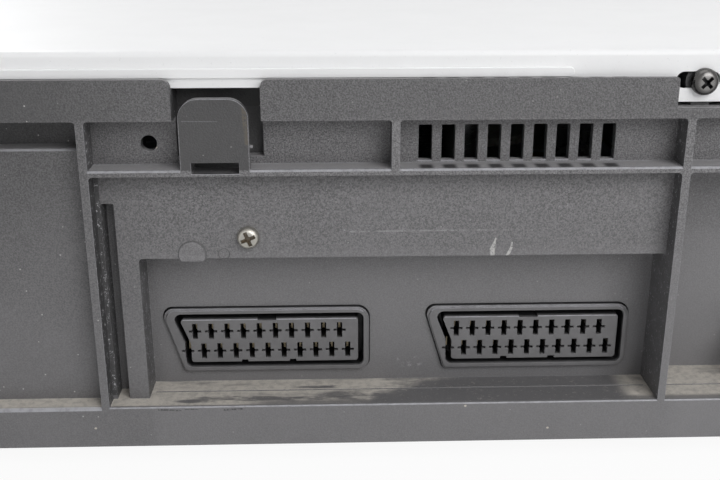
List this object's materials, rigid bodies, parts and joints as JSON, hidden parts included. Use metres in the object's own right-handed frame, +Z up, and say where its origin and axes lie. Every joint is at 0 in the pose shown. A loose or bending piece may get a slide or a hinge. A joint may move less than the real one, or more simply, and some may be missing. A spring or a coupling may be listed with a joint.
{
  "type": "video cassette recorder",
  "caption": "Mains-powered video cassette recorder with a front cassette slot, a stepped rear wall with video, audio and aerial sockets, and a working tape deck inside.",
  "frame": {"origin": "middle of the bottom of the whole recorder, at the level its feet stand on", "axes": "+X towards the display's right end seen from the front, +Y towards the rear wall with the sockets, +Z up"},
  "size_m": [0.3586, 0.285, 0.095],
  "materials": {
    "cover_paint": "satin",
    "dark_moulding": "fine grained",
    "front_moulding": "satin",
    "rubber_black": "matte",
    "screw_dark": "dull nickel",
    "screw_bright": "zinc plated",
    "socket_moulding": "satin",
    "black_moulding": "semi gloss",
    "contact_metal": "tinned",
    "bright_metal": "bright plated",
    "sheet_zinc": "zinc plated",
    "window_dark": "gloss",
    "key_plastic": "satin",
    "board_green": "lacquered",
    "board_brown": "lacquered",
    "tube_glass": "smoked",
    "spring_steel": "bright",
    "transformer_core": "varnished",
    "capacitor_sleeve": "sleeved",
    "sink_aluminium": "extruded",
    "ribbon_plastic": "flexible",
    "chip_plastic": "moulded",
    "drum_aluminium": "fine turned",
    "white_plastic": "acetal",
    "roller_rubber": "matte",
    "motor_metal": "plated"
  },
  "bodies": {
    "case": {"chassis": "dark_moulding", "rear_panel": "dark_moulding", "top_cover": "cover_paint", "front_panel": "front_moulding", "display_window": "window_dark", "feet": "rubber_black", "side_screws": "screw_bright", "rear_screws": "screw_dark", "panel_screws": "screw_bright", "mains_inlet": "black_moulding", "mains_pins": "bright_metal", "video_socket_1": "socket_moulding", "video_socket_2": "socket_moulding", "video_contacts": "contact_metal", "audio_jack_block": "black_moulding", "audio_jack_sleeves": "bright_metal", "tuner_can": "sheet_zinc", "aerial_sockets": "bright_metal", "flap_spring": "spring_steel", "front_board": "board_brown", "display_tube": "tube_glass", "tact_switches": "chip_plastic", "front_jacks": "bright_metal", "main_board": "board_green", "power_board": "board_brown", "transformer": "transformer_core", "capacitors": "capacitor_sleeve", "heat_sink": "sink_aluminium", "signal_shield": "sheet_zinc", "ribbon_cables": "ribbon_plastic", "board_chips": "chip_plastic", "deck_plate": "sheet_zinc", "lower_drum": "drum_aluminium", "capstan_bearing": "motor_metal", "tape_heads": "motor_metal", "carriage_frame": "sheet_zinc", "loading_motor": "motor_metal"},
    "flap": {"cassette_flap": "front_moulding"},
    "jack_cover": {"jack_flap": "front_moulding"},
    "power_key": {"power_button": "key_plastic"},
    "eject_key": {"eject_button": "key_plastic"},
    "rewind_key": {"rewind_button": "key_plastic"},
    "play_key": {"play_button": "key_plastic"},
    "forward_key": {"forward_button": "key_plastic"},
    "stop_key": {"stop_button": "key_plastic"},
    "pause_key": {"pause_button": "key_plastic"},
    "record_key": {"record_button": "key_plastic"},
    "channel_up_key": {"channel_up_button": "key_plastic"},
    "channel_down_key": {"channel_down_button": "key_plastic"},
    "drum": {"head_drum": "drum_aluminium"},
    "capstan_unit": {"capstan": "motor_metal"},
    "pinch": {"pinch_arm": "sheet_zinc"},
    "roller": {"pinch_roller": "roller_rubber"},
    "supply_reel": {"supply_reel_table": "white_plastic"},
    "takeup_reel": {"takeup_reel_table": "white_plastic"},
    "supply_loader": {"supply_guide": "bright_metal"},
    "takeup_loader": {"takeup_guide": "bright_metal"},
    "slider": {"carriage_slider": "white_plastic"},
    "holder": {"cassette_holder": "sheet_zinc"},
    "gear": {"loading_gear": "white_plastic"}
  },
  "joints": [
    {"name": "flap_swing", "type": "hinge", "parent": "case", "child": "flap", "pos_m": [-0.03, -0.136, 0.0883], "axis": [1, 0, 0], "range_deg": [0, 90], "stiffness_Nm_per_rad": 0.004, "springref_deg": -17.19},
    {"name": "jack_cover_swing", "type": "hinge", "parent": "case", "child": "jack_cover", "pos_m": [0.117, -0.1396, 0.0161], "axis": [1, 0, 0], "range_deg": [0, 90]},
    {"name": "power_press", "type": "slide", "parent": "case", "child": "power_key", "axis": [0, 1, 0], "range_m": [0, 0.0012], "stiffness_N_per_m": 500, "springref_m": -0.001},
    {"name": "eject_press", "type": "slide", "parent": "case", "child": "eject_key", "axis": [0, 1, 0], "range_m": [0, 0.0012], "stiffness_N_per_m": 500, "springref_m": -0.001},
    {"name": "rewind_press", "type": "slide", "parent": "case", "child": "rewind_key", "axis": [0, 1, 0], "range_m": [0, 0.0012], "stiffness_N_per_m": 500, "springref_m": -0.001},
    {"name": "play_press", "type": "slide", "parent": "case", "child": "play_key", "axis": [0, 1, 0], "range_m": [0, 0.0012], "stiffness_N_per_m": 500, "springref_m": -0.001},
    {"name": "forward_press", "type": "slide", "parent": "case", "child": "forward_key", "axis": [0, 1, 0], "range_m": [0, 0.0012], "stiffness_N_per_m": 500, "springref_m": -0.001},
    {"name": "stop_press", "type": "slide", "parent": "case", "child": "stop_key", "axis": [0, 1, 0], "range_m": [0, 0.0012], "stiffness_N_per_m": 500, "springref_m": -0.001},
    {"name": "pause_press", "type": "slide", "parent": "case", "child": "pause_key", "axis": [0, 1, 0], "range_m": [0, 0.0012], "stiffness_N_per_m": 500, "springref_m": -0.001},
    {"name": "record_press", "type": "slide", "parent": "case", "child": "record_key", "axis": [0, 1, 0], "range_m": [0, 0.0012], "stiffness_N_per_m": 500, "springref_m": -0.001},
    {"name": "channel_up_press", "type": "slide", "parent": "case", "child": "channel_up_key", "axis": [0, 1, 0], "range_m": [0, 0.0012], "stiffness_N_per_m": 500, "springref_m": -0.001},
    {"name": "channel_down_press", "type": "slide", "parent": "case", "child": "channel_down_key", "axis": [0, 1, 0], "range_m": [0, 0.0012], "stiffness_N_per_m": 500, "springref_m": -0.001},
    {"name": "drum_spin", "type": "hinge", "parent": "case", "child": "drum", "pos_m": [-0.03, 0.028, 0.0312], "axis": [0, 0.0958, 0.9954], "continuous": true},
    {"name": "capstan_spin", "type": "hinge", "parent": "case", "child": "capstan_unit", "pos_m": [0.032, 0.004, 0.025], "axis": [0, 0, 1], "continuous": true},
    {"name": "pinch_swing", "type": "hinge", "parent": "case", "child": "pinch", "pos_m": [0.05, 0.02, 0.03], "axis": [0, 0, 1], "range_deg": [-44.5, 0]},
    {"name": "roller_spin", "type": "hinge", "parent": "pinch", "child": "roller", "pos_m": [0.05514, 0.00067, 0.036], "axis": [0, 0, 1], "continuous": true},
    {"name": "supply_reel_spin", "type": "hinge", "parent": "case", "child": "supply_reel", "pos_m": [-0.076, -0.074, 0.03], "axis": [0, 0, 1], "continuous": true},
    {"name": "takeup_reel_spin", "type": "hinge", "parent": "case", "child": "takeup_reel", "pos_m": [0.016, -0.074, 0.03], "axis": [0, 0, 1], "continuous": true},
    {"name": "takeup_loading", "type": "hinge", "parent": "case", "child": "takeup_loader", "pos_m": [-0.03, 0.028, 0.03], "axis": [0, 0, 1], "range_deg": [0, 80]},
    {"name": "supply_loading", "type": "hinge", "parent": "case", "child": "supply_loader", "pos_m": [-0.03, 0.028, 0.03], "axis": [0, 0, 1], "range_deg": [-80.2, 0]},
    {"name": "holder_travel", "type": "slide", "parent": "case", "child": "holder", "axis": [0, 0.8858, -0.464], "range_m": [0, 0.04741]},
    {"name": "slider_travel", "type": "slide", "parent": "case", "child": "slider", "axis": [0, 1, 0], "range_m": [0, 0.0421]},
    {"name": "gear_turn", "type": "hinge", "parent": "case", "child": "gear", "pos_m": [-0.137, -0.07, 0.0638], "axis": [1, 0, 0], "range_deg": [-201, 0]}
  ],
  "couplings": [
    {"joint": "supply_loading", "follows": "takeup_loading", "ratio": -1},
    {"joint": "slider_travel", "follows": "holder_travel", "ratio": 0.88583},
    {"joint": "gear_turn", "follows": "holder_travel", "rad_per_m": -73.819}
  ]
}
